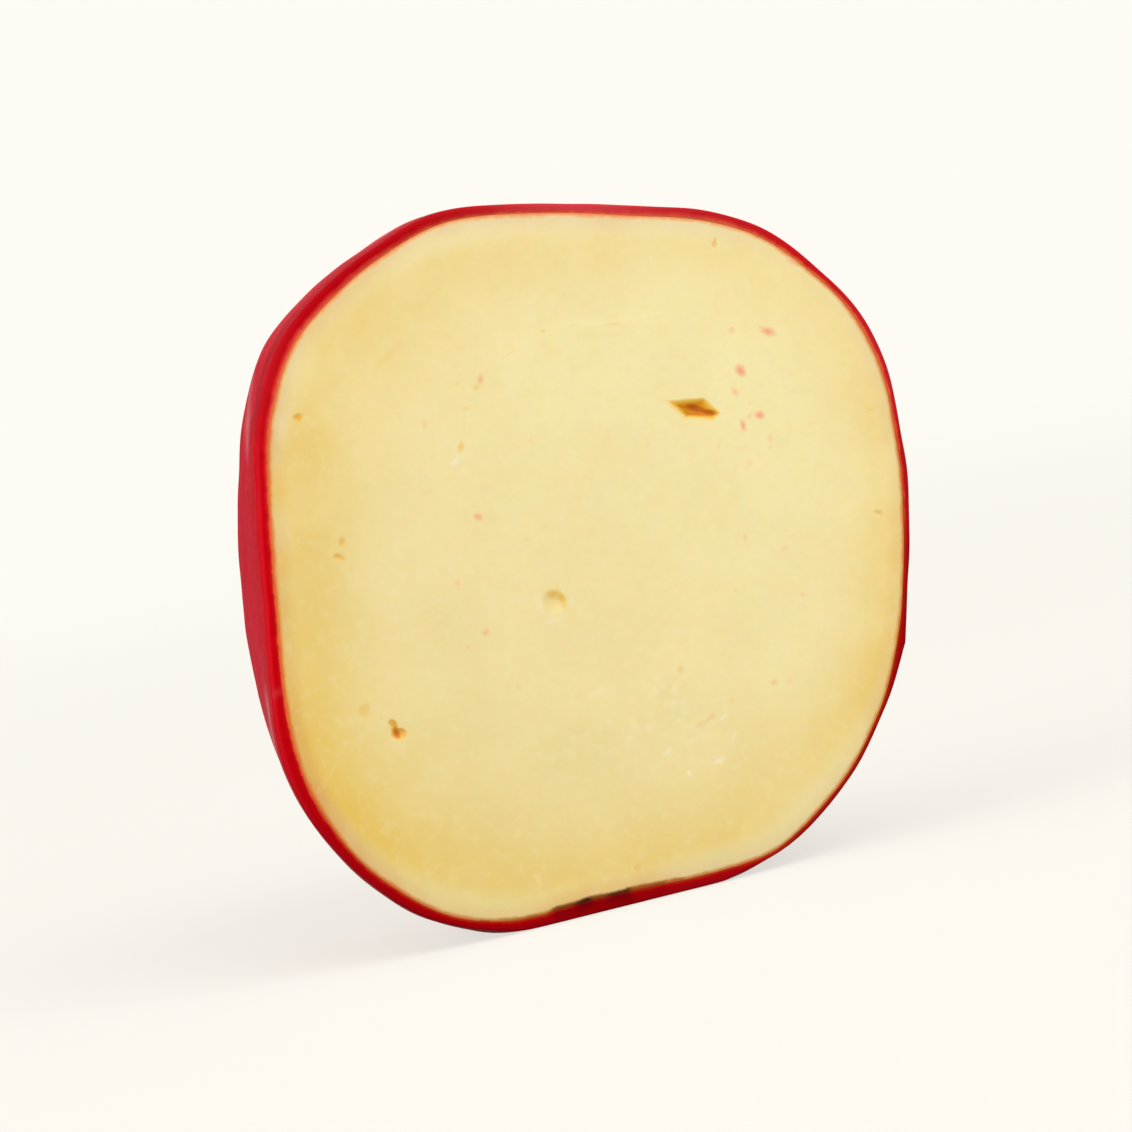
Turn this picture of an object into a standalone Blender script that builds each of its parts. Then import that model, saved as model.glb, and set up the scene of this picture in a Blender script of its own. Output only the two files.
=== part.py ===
"""Half of an Edam ball: firm yellow paste inside a coat of red wax.

The half stands on the flat spot that the ball took on its shelf. The knife cut is
upright and faces -Y; the uncut back of the ball faces +Y. The origin lies in the
middle of the flat spot, and +Z is up. Lengths are in metres, angles in degrees.
"""
from math import radians

import bmesh
import bpy
import numpy as np

# The ball, which was pressed while it was soft: its middle, its radius across the
# cut and towards the back, and how tight the edge between two flat spots is.
BALL_CENTRE = np.array((0.004, -0.014, 0.069))
BALL_RADII = np.array((0.076, 0.072, 0.076))
EDGE_TIGHTNESS = 16

# Flat spots: turn round the ball (0 is +X, 90 is up), lean towards the back (+Y), and
# distance from the ball's middle. The first eight show along the cut.
FLAT_SPOTS = (
    (33.5, 0.0, 0.0732),
    (77.5, 0.0, 0.0654),
    (121.5, 0.0, 0.0703),
    (171.0, 5.0, 0.0602),
    (203.5, 5.0, 0.0723),
    (271.0, -18.0, 0.0665),
    (316.5, 0.0, 0.0694),
    (350.5, 0.0, 0.0652),
    (25.0, 45.0, 0.0710),
    (115.0, 45.0, 0.0700),
    (200.0, 48.0, 0.0710),
    (285.0, 58.0, 0.0710),
    (90.0, 90.0, 0.0665),
)

# The knife cut passes 6 mm in front of the ball's middle.
CUT_Y = -0.020

# The wax is thicker on the side where it ran together, and thickest under the ball.
WAX_THICKNESS = 0.0018
WAX_SWELL = 0.00055
WAX_SWELL_TURN = 175.0
WAX_UNDER_BALL = 0.0028

# Play that keeps the wax and the paste apart, and how far the hollow for the paste
# runs out in front of the cut.
GAP = 0.0003
HOLLOW_OVERSHOOT = 0.004

# Grid of the curved surfaces, which starts on a ring well in front of the cut, and the
# angle between faces from which an edge stays sharp.
TURN_STEPS = 76
LEAN_STEPS = 27
FRONT_LEAN = -24.0
SHARP_ANGLE = 20.0

# Eyes in the cut face: centre across (x) and up (z), full length, full height,
# depth below the face, and tilt of the length from level.
EYES = {
    "slit": (0.0318, 0.0913, 0.0102, 0.0034, 0.0040, -27.0),
    "dimple": (-0.0036, 0.0609, 0.0048, 0.0046, 0.0014, 0.0),
    "pore": (-0.0392, 0.0437, 0.0038, 0.0026, 0.0024, 60.0),
    "pit_upper": (-0.0422, 0.0809, 0.0026, 0.0014, 0.0012, 75.0),
    "pit_lower": (-0.0435, 0.0785, 0.0027, 0.0015, 0.0012, -40.0),
    "rim_slit": (0.0642, 0.0633, 0.0026, 0.0012, 0.0014, -35.0),
}
EYE_TURN_STEPS = 14
EYE_RING_STEPS = 8
SLIT_END_SHARPNESS = 1.6

# Colour (linear) and roughness of the two materials.
PASTE_COLOUR = (0.847, 0.652, 0.254)
PASTE_ROUGHNESS = 0.45
WAX_COLOUR = (0.474, 0.005, 0.014)
WAX_ROUGHNESS = 0.35


def clear_scene():
    for item in list(bpy.data.objects):
        bpy.data.objects.remove(item, do_unlink=True)


def finish_material(name, colour, roughness):
    """Principled material with one colour and roughness, not metallic."""
    material = bpy.data.materials.new(name)
    material.use_nodes = True
    shader = material.node_tree.nodes["Principled BSDF"]
    shader.inputs["Base Color"].default_value = (*colour, 1.0)
    shader.inputs["Roughness"].default_value = roughness
    shader.inputs["Metallic"].default_value = 0.0
    material.diffuse_color = (*colour, 1.0)
    return material


def direction(turn, lean):
    """Unit vector at a turn round the Y axis from +X, leaning towards +Y."""
    turn, lean = np.radians(turn), np.radians(lean)
    across = np.cos(lean) * np.cos(turn)
    up = np.cos(lean) * np.sin(turn)
    return np.stack((across, np.sin(lean), up), axis=-1)


def pressed_radius(rays):
    """Soft minimum, along each ray, of the way to the round ball and to each flat spot."""
    total = np.linalg.norm(rays / BALL_RADII, axis=1) ** EDGE_TIGHTNESS
    for turn, lean, reach in FLAT_SPOTS:
        facing = np.maximum(0.0, rays @ direction(turn, lean))
        total += (facing / reach) ** EDGE_TIGHTNESS
    return total ** (-1.0 / EDGE_TIGHTNESS)


def even_skin(thickness):
    """Skin of one thickness all over."""
    return lambda rays: np.full(len(rays), thickness)


def wax_skin(rays):
    """Thickness of the coat along a ray, greatest on the side of the swell."""
    return WAX_THICKNESS + WAX_SWELL * (rays @ direction(WAX_SWELL_TURN, 0.0))


def mesh_object(name, mesh_data):
    """New object from a finished bmesh, shaded smooth up to its sharp edges."""
    for edge in mesh_data.edges:
        if edge.calc_face_angle(0.0) > radians(SHARP_ANGLE):
            edge.smooth = False
    mesh = bpy.data.meshes.new(name)
    mesh_data.to_mesh(mesh)
    mesh_data.free()
    mesh.shade_smooth()
    item = bpy.data.objects.new(name, mesh)
    bpy.context.collection.objects.link(item)
    return item


def cut_flat(mesh_data, point, outward):
    """Cut everything past a plane away and close the opening with one flat face.

    The rim of that face is a sharp edge all the way round.
    """
    everything = mesh_data.verts[:] + mesh_data.edges[:] + mesh_data.faces[:]
    cut = bmesh.ops.bisect_plane(
        mesh_data, geom=everything, plane_co=point, plane_no=outward, clear_outer=True
    )
    rim = [part for part in cut["geom_cut"] if isinstance(part, bmesh.types.BMEdge)]
    bmesh.ops.holes_fill(mesh_data, edges=rim)
    for edge in rim:
        edge.smooth = False


def ball_mesh(skin, front_y, base_z):
    """Pressed ball with a skin added to its radius, cut at front_y and at base_z.

    Rings of vertices run from a pole in front of the cut to the pole at the back.
    """
    turns = np.arange(TURN_STEPS) * 360.0 / TURN_STEPS
    leans = np.linspace(FRONT_LEAN, 90.0, LEAN_STEPS, endpoint=False)
    lean_grid, turn_grid = np.meshgrid(leans, turns, indexing="ij")
    rays = direction(turn_grid.ravel(), lean_grid.ravel())
    points = BALL_CENTRE + rays * (pressed_radius(rays) + skin(rays))[:, None]
    rings = points.reshape(LEAN_STEPS, TURN_STEPS, 3)
    back = direction(np.zeros(1), np.full(1, 90.0))
    back_pole = BALL_CENTRE + back[0] * (pressed_radius(back) + skin(back))[0]

    mesh_data = bmesh.new()
    rows = [[mesh_data.verts.new(point) for point in ring] for ring in rings]
    for near, far in zip(rows, rows[1:]):
        for k in range(TURN_STEPS):
            following = (k + 1) % TURN_STEPS
            mesh_data.faces.new((near[k], near[following], far[following], far[k]))
    pole = mesh_data.verts.new(back_pole)
    for k in range(TURN_STEPS):
        mesh_data.faces.new((rows[-1][k], rows[-1][(k + 1) % TURN_STEPS], pole))
    mesh_data.faces.new(rows[0])
    cut_flat(mesh_data, (0.0, front_y, 0.0), (0.0, -1.0, 0.0))
    cut_flat(mesh_data, (0.0, 0.0, base_z), (0.0, 0.0, -1.0))
    bmesh.ops.recalc_face_normals(mesh_data, faces=mesh_data.faces[:])
    return mesh_data


def subtract(item, cutter):
    """Take a cutter's shape out of an object; the cutter itself isn't a piece."""
    cutter.hide_render = True
    cutter.display_type = "WIRE"
    modifier = item.modifiers.new(cutter.name, "BOOLEAN")
    modifier.operation = "DIFFERENCE"
    modifier.solver = "EXACT"
    modifier.object = cutter


def eye_cutter(name, x, z, length, height, depth, tilt):
    """Spindle whose middle lies in the cut face; the slit has pointed ends.

    Rings run along the length, and each ring's radius is the sine of its place
    between the two tips, raised to a power that draws the tips out.
    """
    power = SLIT_END_SHARPNESS if name == "slit" else 1.0
    mesh_data = bmesh.new()
    rows = []
    for step in range(1, EYE_RING_STEPS):
        place = np.pi * step / EYE_RING_STEPS
        ring_radius = np.sin(place) ** power
        ring = []
        for k in range(EYE_TURN_STEPS):
            angle = 2.0 * np.pi * k / EYE_TURN_STEPS
            ring.append(mesh_data.verts.new((
                0.5 * length * np.cos(place),
                depth * ring_radius * np.cos(angle),
                0.5 * height * ring_radius * np.sin(angle),
            )))
        rows.append(ring)
    for near, far in zip(rows, rows[1:]):
        for k in range(EYE_TURN_STEPS):
            following = (k + 1) % EYE_TURN_STEPS
            mesh_data.faces.new((near[k], far[k], far[following], near[following]))
    for ring, tip_x in ((rows[0], 0.5 * length), (rows[-1], -0.5 * length)):
        tip = mesh_data.verts.new((tip_x, 0.0, 0.0))
        for k in range(EYE_TURN_STEPS):
            mesh_data.faces.new((ring[k], ring[(k + 1) % EYE_TURN_STEPS], tip))
    bmesh.ops.recalc_face_normals(mesh_data, faces=mesh_data.faces[:])
    cutter = mesh_object(f"eye_{name}", mesh_data)
    cutter.location = (x, CUT_Y, z)
    cutter.rotation_euler = (0.0, -radians(tilt), 0.0)
    return cutter


def make_cheese():
    """The paste, with the eyes that the knife opened in its cut face."""
    cheese = mesh_object("cheese", ball_mesh(even_skin(0.0), CUT_Y, WAX_UNDER_BALL))
    cheese.data.materials.append(
        finish_material("edam_paste", PASTE_COLOUR, PASTE_ROUGHNESS)
    )
    for name, sizes in EYES.items():
        subtract(cheese, eye_cutter(name, *sizes))


def make_wax_coat():
    """The wax, cut flush with the paste and hollow where the paste sits."""
    wax = mesh_object("wax_coat", ball_mesh(wax_skin, CUT_Y, 0.0))
    wax.data.materials.append(finish_material("red_wax", WAX_COLOUR, WAX_ROUGHNESS))
    hollow_base_z = WAX_UNDER_BALL - GAP
    hollow = ball_mesh(even_skin(GAP), CUT_Y - HOLLOW_OVERSHOOT, hollow_base_z)
    subtract(wax, mesh_object("hollow", hollow))


clear_scene()
make_cheese()
make_wax_coat()
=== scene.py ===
import bpy
import numpy as np
from mathutils import Matrix, Vector


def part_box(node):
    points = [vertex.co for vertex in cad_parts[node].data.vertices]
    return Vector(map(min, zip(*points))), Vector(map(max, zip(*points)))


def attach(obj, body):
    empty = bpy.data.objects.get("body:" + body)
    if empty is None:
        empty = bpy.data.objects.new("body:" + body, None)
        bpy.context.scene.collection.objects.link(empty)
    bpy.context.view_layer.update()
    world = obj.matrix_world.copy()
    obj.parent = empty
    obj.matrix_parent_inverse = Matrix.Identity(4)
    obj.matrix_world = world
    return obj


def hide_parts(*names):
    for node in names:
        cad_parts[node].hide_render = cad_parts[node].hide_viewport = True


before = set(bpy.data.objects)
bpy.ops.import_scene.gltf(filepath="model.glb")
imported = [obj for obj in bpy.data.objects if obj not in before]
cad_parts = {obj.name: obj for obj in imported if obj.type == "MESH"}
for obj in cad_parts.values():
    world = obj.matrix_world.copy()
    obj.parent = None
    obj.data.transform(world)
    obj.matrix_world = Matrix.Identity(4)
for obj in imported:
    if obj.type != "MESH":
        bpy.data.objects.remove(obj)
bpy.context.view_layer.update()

# ======== The paste ========
#
# Firm yellow Edam, pressed round while it was soft, so that its outline has flat spots.
# The knife that cut it opened the eyes that it met, and dragged crumbs of the red wax
# over the face. Sizes are in millimetres up to the mesh.

MM = 0.001

# The pressed ball: its middle, its radii, and how tight the edge between two flat spots
# is. The same values make the solids.
BALL_CENTRE = np.array((4.0, -14.0, 69.0))
BALL_RADII = np.array((76.0, 72.0, 76.0))
EDGE_TIGHTNESS = 16

# Turn round the ball from +X, lean towards the back, distance from the ball's middle.
FLAT_SPOTS = np.array((
    (33.5, 0, 73.2),
    (77.5, 0, 65.4),
    (121.5, 0, 70.3),
    (171, 5, 60.2),
    (203.5, 5, 72.3),
    (271, -18, 66.5),
    (316.5, 0, 69.4),
    (350.5, 0, 65.2),
    (25, 45, 71),
    (115, 45, 70),
    (200, 48, 71),
    (285, 58, 71),
    (90, 90, 66.5),
))

# The plane of the cut, the paste's level base, and how tight the edge between them is.
CUT_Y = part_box("cheese")[0].y / MM
PASTE_BASE_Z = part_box("cheese")[0].z / MM
BASE_TIGHTNESS = 90

# How far the outline at the cut swells past what the flat spots make: one value for
# every ten degrees of turn. Each reaches six tenths of the way to the next, and all of
# them fade towards the back.
OUTLINE_SWELLS = np.array((
    (0.74, 0.03, 0.06, 0.6, -0.12, -0.13, -0.01, -0.3, -0.05, -0.1, -0.03, -0.41),
    (0.2, 0.27, -0.55, 0.38, 0.38, 0.23, 0.06, 0.02, 0.07, 0.52, 0.82, 0.1),
    (0.45, 0.85, 0, 0, 0.65, 1, 0.3, 0.89, 0.5, -0.02, 0.28, 0.62),
)).ravel()
STATION_REACH = 0.6
SWELL_FADE_LEAN = 30.0

# Height of the paste's lower edge at each x along the cut, where the wax under it is
# stained, and that height on average.
LOWER_EDGE = (
    (-31, 1.8), (-28, 1.6), (-24.5, 1.4), (-22, 1.5), (-18.3, 1.7),
    (-16.5, 2.25), (-9.3, 2.55), (2, 2.35), (6, 2.1), (11, 1.75),
)
MEAN_LOWER_EDGE = 2.0

# Steps along each side of the face's grid. The hidden side of the paste has one point
# for every fourth on the face's border, in fourteen steps to the pole.
FACE_STEPS = 300
SIDE_RATIO = 4
SIDE_RINGS = 14


def direction(turn, lean):
    """Unit vectors (cos lean cos turn, sin lean, cos lean sin turn), angles in degrees."""
    turn, lean = np.radians(turn), np.radians(lean)
    across = np.cos(lean) * np.cos(turn)
    up = np.cos(lean) * np.sin(turn)
    return np.stack((across, np.sin(lean) + 0.0 * turn, up), axis=-1)


def around(turn, middle):
    """Angle from a middle to a turn, the short way round, in degrees."""
    return (turn - middle + 180.0) % 360.0 - 180.0


def turn_of(off_x, off_z):
    """Turn of a place that lies off_x across and off_z up from the ball's middle."""
    return np.degrees(np.arctan2(off_z, off_x)) % 360.0


def bell(distance, reach):
    """Smooth bump: e to the minus (distance / reach) squared."""
    return np.exp(-((distance / reach) ** 2))


def smooth_step(value):
    """0 below 0, 1 above 1, and 3v^2 - 2v^3 between."""
    value = np.clip(value, 0.0, 1.0)
    return value * value * (3.0 - 2.0 * value)


def stations(turn, values):
    """Evenly spaced stations' values, averaged with bells of the way to each station."""
    spacing = 360.0 / len(values)
    total, weights = 0.0, 0.0
    for k, value in enumerate(values):
        weight = bell(around(turn, spacing * k), STATION_REACH * spacing)
        total, weights = total + value * weight, weights + weight
    return total / weights


def ball_radius(turn, lean):
    """Radius of the pressed ball: the soft minimum (a p-norm of the inverses) of the
    ellipsoid and of every flat spot's plane, plus the outline's swells near the cut."""
    rays = direction(turn, lean)
    total = np.linalg.norm(rays / BALL_RADII, axis=-1) ** EDGE_TIGHTNESS
    for spot_turn, spot_lean, reach in FLAT_SPOTS:
        facing = np.maximum(0.0, rays @ direction(spot_turn, spot_lean))
        total = total + (facing / reach) ** EDGE_TIGHTNESS
    swell = stations(turn, OUTLINE_SWELLS) * bell(lean, SWELL_FADE_LEAN)
    return total ** (-1.0 / EDGE_TIGHTNESS) + swell


def lean_at(y, turn, radius_at):
    """Lean at which each turn's ray meets the upright plane y: sin lean is the plane's
    distance over the radius, worked out six times over, by when it has settled."""
    lean = np.zeros_like(turn)
    for _ in range(6):
        lean = np.degrees(np.arcsin((y - BALL_CENTRE[1]) / radius_at(turn, lean)))
    return lean


def above_base(radius, turn):
    """Soft minimum (a p-norm of the inverses) of a radius in the cut and the way down to
    the paste's lower edge."""
    down = np.maximum(1e-6, -np.sin(np.radians(turn)))
    x = BALL_CENTRE[0] + np.cos(np.radians(turn)) / down * (BALL_CENTRE[2] - MEAN_LOWER_EDGE)
    down = down / (BALL_CENTRE[2] - np.interp(x, *np.transpose(LOWER_EDGE)))
    return (radius ** -BASE_TIGHTNESS + down ** BASE_TIGHTNESS) ** (-1.0 / BASE_TIGHTNESS)


def paste_edge(turn):
    """Distance of the paste's edge from the ball's middle, seen square to the cut. It is
    worked out for every quarter of a degree and looked up in between."""
    table = np.arange(0.0, 360.0, 0.25)
    lean = lean_at(CUT_Y, table, ball_radius)
    edge = above_base(ball_radius(table, lean) * np.cos(np.radians(lean)), table)
    return np.interp(turn, table, edge, period=360.0)


def square_disc(steps):
    """Share of the radius and turn of a square grid bent into a disc: each square ring
    of the grid becomes a round one, and the place along its side becomes the turn."""
    line = np.linspace(-1.0, 1.0, steps + 1)
    u, v = np.meshgrid(line, line)
    share = np.maximum(np.abs(u), np.abs(v))
    wide = np.abs(u) > np.abs(v)
    sideways = np.divide(v, u, out=np.zeros_like(u), where=wide)
    upwards = np.divide(u, v, out=np.zeros_like(u), where=~wide & (v != 0.0))
    turn = np.where(wide, 45.0 * sideways + 180.0 * (u < 0), 90.0 - 45.0 * upwards + 180.0 * (v < 0))
    return share, turn % 360.0


# Eyes and nicks in the face: place (x, z), length, height, depth, tilt, how square their outline is (1 is a
# diamond, 2 an ellipse), and how ochre they are: that ochre is painted shade, standing in for the shade in
# each hollow and the light sunk into the paste there.
EYES = (
    (-3.6, 60.7, 5.3, 5.3, 0.3, -20, 2, 0.15),
    (-39.7, 44.7, 3, 1.8, 0.3, -65, 1.8, 0.8),
    (-39.5, 43.4, 3.4, 2.1, 0.5, -78, 1.8, 0.95),
    (-38.7, 42.9, 2.6, 2.4, 0.4, -80, 1.8, 0.8),
    (-42.2, 80.9, 2.3, 1.5, 0.15, 70, 2, 0.38),
    (-43.4, 78.4, 2.6, 1.5, 0.15, -35, 2, 0.42),
    (64.2, 63.3, 2.6, 1, 0.3, -35, 1.5, 0.5),
    (-45.5, 106, 1.9, 1.5, 0.2, -30, 2, 0.85),
    (-44.6, 48.8, 2.6, 2.2, 0.1, 45, 2, 0.3),
    (42.3, 121.6, 2, 0.9, 0.15, 70, 2, 0.5),
    (18.3, 42, 1.8, 1.5, 0.1, 90, 2, 0.15),
    (-2.4, 75.4, 1.9, 1.3, 0.1, 20, 2, 0.1),
    (-6.6, 73.4, 1.7, 1.8, 0.1, 0, 2, 0.1),
    (-15.6, 93.8, 1.9, 1.3, 0.15, 60, 2, 0.25),
    (1.7, 6.8, 1.5, 1.4, 0.12, 0, 2, 0.3),
    (22.4, 31.9, 2.6, 1, 0.1, 20, 1.5, 0.3),
)

# The long slit is a lozenge with five sides: its corners against the clock, the width of
# the wall that falls off from each side, how many of the sides from the first one on are
# lower ones, and its depth.
SLIT_CORNERS = np.array(((26.4, 93.9), (29.5, 89.9), (34.8, 88.5), (36.7, 89.1), (33.9, 92.9)))
SLIT_WALLS = (1.5, 1.15, 1.0, 2.3, 2.4)
SLIT_LOWER_WALLS = 3
SLIT_DEPTH = 1.1

# How uneven the rims of the slit (in millimetres) and of the other eyes (as a share) are, how long that
# unevenness is, and the part of a bowl over which its painted shade comes in.
SLIT_RAGGEDNESS = 0.1
RAGGEDNESS = 0.13
RAG_LENGTH = 2.6
TINT_RIM = 0.35

# The grid is drawn together round the larger eyes, so that their rims come out clean:
# place (x, z), reach, and the share of the way that points move.
DENSE_SPOTS = (
    (31.9, 91.2, 9, 0.6),
    (-3.6, 60.9, 7, 0.5),
    (-38.6, 43.9, 6, 0.55),
    (-42.8, 79.7, 6, 0.5),
)


def draw_together(x, z, share):
    """Moves grid points towards each dense spot by a bell of their distance from it.
    Points near the paste's edge stay."""
    inside = 1.0 - share**10
    for spot_x, spot_z, reach, pull in DENSE_SPOTS:
        off_x, off_z = x - spot_x, z - spot_z
        move = pull * inside * bell(np.hypot(off_x, off_z), reach)
        x, z = x - move * off_x, z - move * off_z
    return x, z


def ripple(points, length, seed, waves=9):
    """Random relief between about -1 and 1: plane waves of one length, each with a
    seeded direction and phase, summed and brought to an even strength."""
    random = np.random.default_rng(seed)
    ways = random.normal(size=(waves, 3))
    ways /= np.linalg.norm(ways, axis=1)[:, None]
    phases = random.uniform(0.0, 2.0 * np.pi, waves)
    summed = np.cos(points @ ways.T * (2.0 * np.pi / length) + phases).sum(-1)
    return summed * np.sqrt(0.5 / waves)


def slit_inset(x, z):
    """How far down its wall a point of the slit lies: distance from the nearest side over
    that side's wall width, made a little uneven. It is negative outside the slit. Also
    the share of the upper walls, which is 0 on a lower wall and 1 on an upper one."""
    ragged = ripple(np.stack((x, np.zeros_like(x), z), axis=-1), RAG_LENGTH, seed=2)
    insets = []
    for start, end, wall in zip(SLIT_CORNERS, np.roll(SLIT_CORNERS, -1, axis=0), SLIT_WALLS):
        side = (end - start) / np.linalg.norm(end - start)
        off = (z - start[1]) * side[0] - (x - start[0]) * side[1]
        insets.append((off + SLIT_RAGGEDNESS * ragged) / wall)
    lower = np.min(insets[:SLIT_LOWER_WALLS], axis=0)
    upper = np.min(insets[SLIT_LOWER_WALLS:], axis=0)
    return np.minimum(lower, upper), smooth_step(0.5 + 0.5 * (lower - upper))


def eye_fields(x, z):
    """Depth and painted shade of the eyes, an ochre tint: each is a bowl with a soft rim, depth times (1 -
    m^2)^1.5, where m is the rounded distance from its middle in half lengths, made a little uneven. Its
    painted shade fills it to the rim. The slit's walls fall off from its rim."""
    depth, tint = np.zeros_like(x), np.zeros_like(x)
    flat = np.stack((x, np.zeros_like(x), z), axis=-1)
    ragged = 1.0 + RAGGEDNESS * ripple(flat, RAG_LENGTH, seed=2)
    for eye_x, eye_z, length, height, deep, tilt, squareness, ochre in EYES:
        angle = np.radians(tilt)
        along = ((x - eye_x) * np.cos(angle) + (z - eye_z) * np.sin(angle)) / (0.5 * length)
        across = ((z - eye_z) * np.cos(angle) - (x - eye_x) * np.sin(angle)) / (0.5 * height)
        off = (np.abs(along) ** squareness + np.abs(across) ** squareness) ** (1.0 / squareness)
        off = ragged * off
        inside = np.clip(1.0 - off**2, 0.0, 1.0)
        depth = np.maximum(depth, deep * inside**1.5)
        tint = np.maximum(tint, ochre * smooth_step(inside / TINT_RIM))
    return np.maximum(depth, SLIT_DEPTH * smooth_step(slit_inset(x, z)[0])), tint


# The knife stopped once: above a crooked line (x, z) the face stands a hair further back.
# The step's height, its width, how far up it fades out, and its middle and reach in x.
KNIFE_STOP = (
    (-7, 108), (-2.7, 109.2), (5, 112.1), (11, 111.8),
    (19, 110.5), (26.5, 110.1), (34.5, 109),
)
KNIFE_STEP = 0.06
KNIFE_STEP_WIDTH = 0.7
KNIFE_STEP_FADE = 14.0
KNIFE_STEP_SPAN = (14.0, 22.0)

# The paste tore a little round one spot: its middle (x, z), its reach in x and in z, how
# deep the tears are, and the lengths of the two ripples that make them.
CRUMBLY_SPOT = (14.0, 36.0, 22.0, 16.0)
CRUMBLE = 0.04
CRUMB_LENGTHS = (1.9, 3.1)

# A slow wave over the whole face, its height and length, and the paste's edge: how wide
# it is rounded, and how deep as a share of a full quarter round.
FACE_WAVE = 0.12
FACE_WAVE_LENGTH = 45.0
EDGE_ROUNDING = 0.35
EDGE_FALL = 0.6


def crumbliness(x, z):
    """Where the paste tore a little under the knife: a bell round one spot."""
    spot_x, spot_z, reach_x, reach_z = CRUMBLY_SPOT
    return bell(np.hypot((x - spot_x) / reach_x, (z - spot_z) / reach_z), 1.0)


def face_depth(x, z, rim):
    """How far the face lies behind the cut plane: eyes, a slow wave, the knife's stop,
    the crumbly spot, and the edge rounded off by a circle's arc."""
    flat = np.stack((x, np.zeros_like(x), z), axis=-1)
    depth = eye_fields(x, z)[0] + FACE_WAVE * ripple(flat, FACE_WAVE_LENGTH, seed=3)
    above_stop = z - np.interp(x, *np.transpose(KNIFE_STOP))
    step = smooth_step(above_stop / KNIFE_STEP_WIDTH) * bell(above_stop, KNIFE_STEP_FADE)
    middle, span = KNIFE_STEP_SPAN
    depth = depth + KNIFE_STEP * bell(x - middle, span) * step
    torn = ripple(flat, CRUMB_LENGTHS[0], seed=5) + ripple(flat, CRUMB_LENGTHS[1], seed=8)
    depth = depth + CRUMBLE * crumbliness(x, z) * np.maximum(0.0, torn)
    near = np.clip(1.0 - rim / EDGE_ROUNDING, 0.0, 1.0)
    return depth + EDGE_ROUNDING * (1.0 - np.sqrt(1.0 - near**2)) * EDGE_FALL


def mesh_piece(name, points, faces, attributes, sharp_angle):
    """New piece from points in millimetres and faces, smooth up to its sharp edges,
    with one number per point for each attribute."""
    mesh = bpy.data.meshes.new(name)
    mesh.from_pydata((points * MM).tolist(), [], faces)
    for label, values in attributes.items():
        layer = mesh.attributes.new(label, "FLOAT", "POINT")
        layer.data.foreach_set("value", np.ravel(values).astype(np.float32))
    mesh.shade_smooth()
    mesh.set_sharp_from_angle(angle=np.radians(sharp_angle))
    mesh.update()
    piece = bpy.data.objects.new(name, mesh)
    bpy.context.scene.collection.objects.link(piece)
    return piece


# Colours round the face, one value for every twenty degrees of turn: width and strength
# of the pale zone under the wax; strength of the ochre ring inside it, how far in it is
# strongest, and its width inwards; strength of the brown edge.
RIND_WIDTH = (
    3.7, 2.9, 2.5, 3.6, 3.5, 4.8, 4.1, 3.2, 2.9,
    5.6, 1.3, 3.8, 5.5, 3.1, 4.2, 5.1, 3.2, 1.3,
)
RIND_PALE = (
    0.08, 0.39, 0.05, 0.52, 0.50, 0.59, 0.37, 0.18, 0.29,
    0.03, 0.07, 0.40, 0.55, 0.11, 0.69, 0.60, 0.33, 0.00,
)
OCHRE_RING = (
    0.34, 0.31, 0.20, 0.16, 0.21, 0.25, 0.35, 0.32, 0.46,
    0.40, 0.60, 0.65, 0.38, 0.36, 0.30, 0.26, 0.46, 0.39,
)
OCHRE_DEPTH = (
    1, 1, 5, 6, 4.1, 4.7, 1, 8.2, 1,
    1, 1, 1, 1, 1, 3.5, 5.7, 1, 1,
)
OCHRE_REACH = (
    8.8, 10.4, 10.9, 10.8, 10.4, 14.4, 18.5, 13.5, 14.4,
    14.3, 14.5, 16.0, 19.9, 13.3, 12.3, 13.2, 9.6, 8.7,
)
BROWN_EDGE = (
    0.16, 0.34, 0.14, 0.29, 0.54, 0.60, 0.33, 0.37, 0.52,
    0.32, 0.56, 1.00, 0.51, 0.50, 0.55, 0.42, 0.26, 0.25,
)

# The ochre ring's width outwards, the brown edge's width, and the way (x, z) in which the paste is painted
# paler, with the distance over which it does: painted light towards the upper right, where the light comes
# from, and painted shade, darker and warmer, towards the lower left.
OCHRE_OUTWARDS = 5.0
BROWN_WIDTH = 4.5
PAINTED_LIGHT_WAY = (0.6, 0.66)
PAINTED_LIGHT_REACH = 156.0

# The brown stain and the black along the lower edge: how black and how brown it is at each x, its width, and
# the height that it stays below.
BLACK_EDGE = (
    (-17, 0), (-16, 0.55), (-12.5, 0.45), (-11, 0.95), (-9, 1), (-8, 0.5), (-6, 0.45),
    (-4.5, 0.85), (-1, 0.9), (0, 0.25), (2, 0.1), (4.5, 0.25), (6.3, 0.15), (7, 0),
)
SCORCH = (
    (-28, 0), (-25, 0.6), (-22.8, 0.9), (-20, 0.9), (-18, 0.6), (-16, 1), (6.5, 1),
    (7.2, 0.5), (8, 0.65), (10.2, 0.9), (10.8, 0.35), (15, 0.2), (18, 0),
)
STAIN_WIDTH = 1.1
STAIN_TOP = 8.0


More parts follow.
